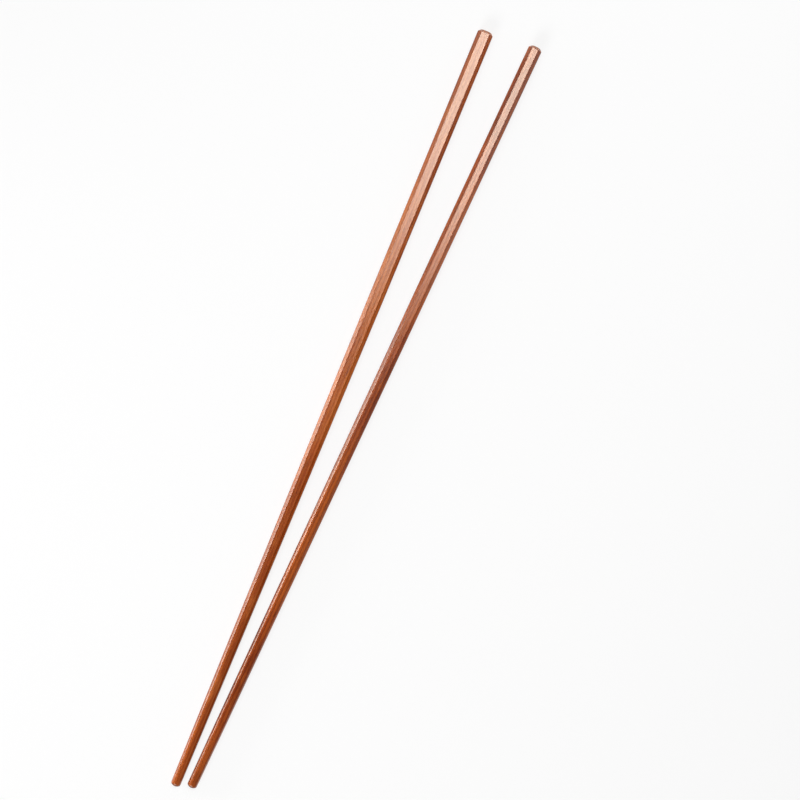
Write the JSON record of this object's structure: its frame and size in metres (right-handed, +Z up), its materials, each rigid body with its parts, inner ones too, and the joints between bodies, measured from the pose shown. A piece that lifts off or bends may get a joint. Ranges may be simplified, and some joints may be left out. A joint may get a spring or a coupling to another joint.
{
  "type": "pair of cooking chopsticks",
  "caption": "Long slim cooking chopsticks of reddish-brown hardwood, with flat-sided handles tapering into round blunt tips, for stirring, turning and lifting hot food.",
  "frame": {"origin": "middle of the pair, at the level of the surface that the sticks lie on", "axes": "+Y from the tips towards the butts, +X to the right seen from above, +Z up from the surface"},
  "size_m": [0.0342, 0.4226, 0.0087],
  "materials": {
    "hardwood": "satin oiled reddish-brown hardwood with a fine straight grain"
  },
  "bodies": {
    "root": {"left_chopstick": "hardwood", "right_chopstick": "hardwood"}
  },
  "joints": []
}
